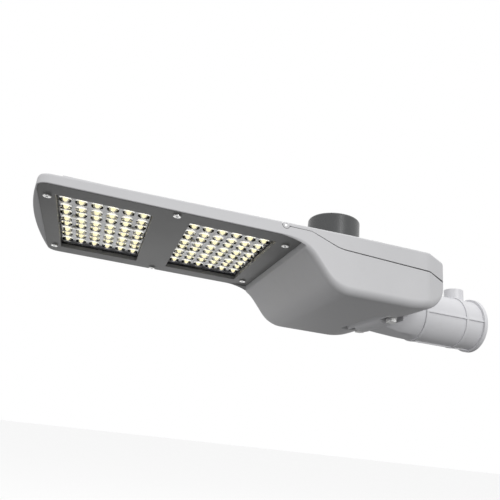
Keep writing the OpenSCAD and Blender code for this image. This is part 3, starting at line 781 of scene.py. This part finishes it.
# ---------------------------------------------------------------- pole spigot
# A casting of its own: a tube for the pole end with thin strengthening rings and ribs, a boss for
# the locking screw on top, and a knuckle that tilts in the housing's tail between two M8 bolts.
spigot_paint = powder_coat("spigot_powder_coat", 229, 3, 0.38)
refined("spigot", spigot_paint, "spigot", "cast_aluminium", 0.5 * MM)
zinc = metal("zinc_plated_steel", (0.80, 0.80, 0.78, 1), 0.3)
refined("pole_screw", zinc, "spigot", "steel", 0.4 * MM)
refined("tilt_bolts", stainless, "head", "steel", 0.6 * MM, 3)
refined("tilt_washers", stainless, "head", "steel", 0.3 * MM)


# ---------------------------------------------------------------- vent, gland and earth
# A breather plug in the rear face, the nylon gland that takes the cable through the pocket's
# wall, and a brass earth screw with its tag on a post in the gear compartment.
refined("vent_plug", nylon, "head", "black_plastic", 0.8 * MM, 3)
refined("cable_gland", nylon, "head", "black_plastic", 0.5 * MM)
refined("gland_nut", nylon, "head", "black_plastic", 0.3 * MM)
brass = metal("brass", (0.78, 0.58, 0.24, 1), 0.3)
refined("earth_screw", brass, "head", "brass", 0.3 * MM)


# ---------------------------------------------------------------- driver and wiring blocks
# The LED driver in its extruded aluminium case, a potted surge protector and a five-way screw
# terminal block, with the insulated leads between them and the boards.
driver_case = metal("extruded_case", (0.70, 0.71, 0.72, 1), 0.42)
refined("led_driver", driver_case, "head", "driver_case", 0.6 * MM, 3)
refined("driver_screws", zinc, "head", "steel", 0.4 * MM)
refined("surge_protector", nylon, "head", "black_plastic", 0.8 * MM, 3)
ivory = moulding("ivory_nylon", (0.74, 0.71, 0.58, 1), 0.42)
refined("terminal_block", ivory, "head", "ivory_plastic", 0.4 * MM)
refined("terminal_screws", brass, "head", "brass", 0.2 * MM)
red_wire = moulding("red_insulation", (0.50, 0.03, 0.025, 1), 0.36, coat=0.3)
blue_wire = moulding("blue_insulation", (0.035, 0.09, 0.42, 1), 0.36, coat=0.3)
refined("board_leads", red_wire, "head", "wire_red", 0, sharp_over=60)
refined("link_leads", red_wire, "head", "wire_red", 0, sharp_over=60)
refined("driver_leads", blue_wire, "head", "wire_blue", 0, sharp_over=60)


# ---------------------------------------------------------------- twist-lock socket
# The control socket stands on the lid's pad over a flat seal, held from inside by a large nut.
# Three curved slots take the cap's blades, and three leads hang from it into the compartment.
socket_plastic = moulding("socket_moulding", (0.05, 0.054, 0.058, 1), 0.4, coat=0.15)
refined("socket_seal", rubber, "lid", "seal_black", 0.2 * MM)
refined("socket_nut", nylon, "lid", "black_plastic", 0.6 * MM)
refined("sensor_socket", socket_plastic, "socket", "socket_plastic", 0.6 * MM, 3)
refined("socket_contacts", brass, "socket", "brass", 0.1 * MM)
refined("sensor_leads", red_wire, "socket", "wire_red", 0, sharp_over=60)
refined("sensor_plug", ivory, "socket", "ivory_plastic", 0.4 * MM)


# ---------------------------------------------------------------- shorting cap
# A turned-looking moulded cap: a plain drum with a softly rounded crown and a shallow skirt. Its
# base carries three brass blades and the link that joins them, and a soft ring seals its rim.
cap_low, cap_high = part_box("cap_shell")
CAP_SKIRT_R = (cap_high.x - cap_low.x) / 2 - 0.05 * MM
CAP_R = CAP_SKIRT_R - 1.2 * MM
CAP_DRAFT = 0.5 * MM
CAP_CROWN = 3.2 * MM
CAP_WALL = 2.4 * MM
SKIRT_TALL = 17 * MM
top = cap_high.z - 0.05 * MM


def turned(profile, x, y, steps=96):
    """Spins a closed profile of (radius, height) points round the upright axis at x, y."""
    form = bmesh.new()
    ring = [form.verts.new((x + r, y, z)) for r, z in profile]
    edges = [form.edges.new((a, b)) for a, b in zip(ring, ring[1:])]
    bmesh.ops.spin(form, geom=ring + edges, cent=(x, y, 0), axis=(0, 0, 1), angle=2 * pi,
                   steps=steps, use_merge=True)
    bmesh.ops.remove_doubles(form, verts=form.verts, dist=1e-6)
    bmesh.ops.recalc_face_normals(form, faces=form.faces)
    return form


crown = [(CAP_R - CAP_DRAFT - CAP_CROWN * (1 - sin(radians(a))), top - CAP_CROWN * (1 - cos(radians(a))))
         for a in range(0, 91, 10)]
skirt_top = cap_low.z + SKIRT_TALL
inside = top - CAP_WALL - 0.6 * MM
profile = ([(0, top)] + crown
           + [(CAP_R, skirt_top + 0.5 * MM), (CAP_R + 0.25 * MM, skirt_top + 0.1 * MM),
              (CAP_SKIRT_R - 0.4 * MM, skirt_top), (CAP_SKIRT_R, skirt_top - 0.4 * MM),
              (CAP_SKIRT_R, cap_low.z + 0.4 * MM), (CAP_SKIRT_R - 0.4 * MM, cap_low.z),
              (CAP_R - CAP_WALL + 0.3 * MM, cap_low.z), (CAP_R - CAP_WALL, cap_low.z + 0.4 * MM),
              (CAP_R - CAP_WALL, inside - 2 * MM), (CAP_R - CAP_WALL - 2 * MM, inside), (0, inside)])
cap = as_object("cap_drum", turned(profile, SOCKET_X, 0))
cap_plastic = moulding("cap_moulding", (0.058, 0.060, 0.061, 1), 0.26, coat=0.6)
finished(cap, cap_plastic, "cap", "cap_plastic", "cap_shell")
refined("cap_base", nylon, "cap", "black_plastic", 0.4 * MM)
refined("cap_blades", brass, "cap", "brass", 0.15 * MM)
refined("cap_seal", rubber, "cap", "seal_black", 0.3 * MM)
refined("shorting_link", brass, "cap", "brass", 0.3 * MM)
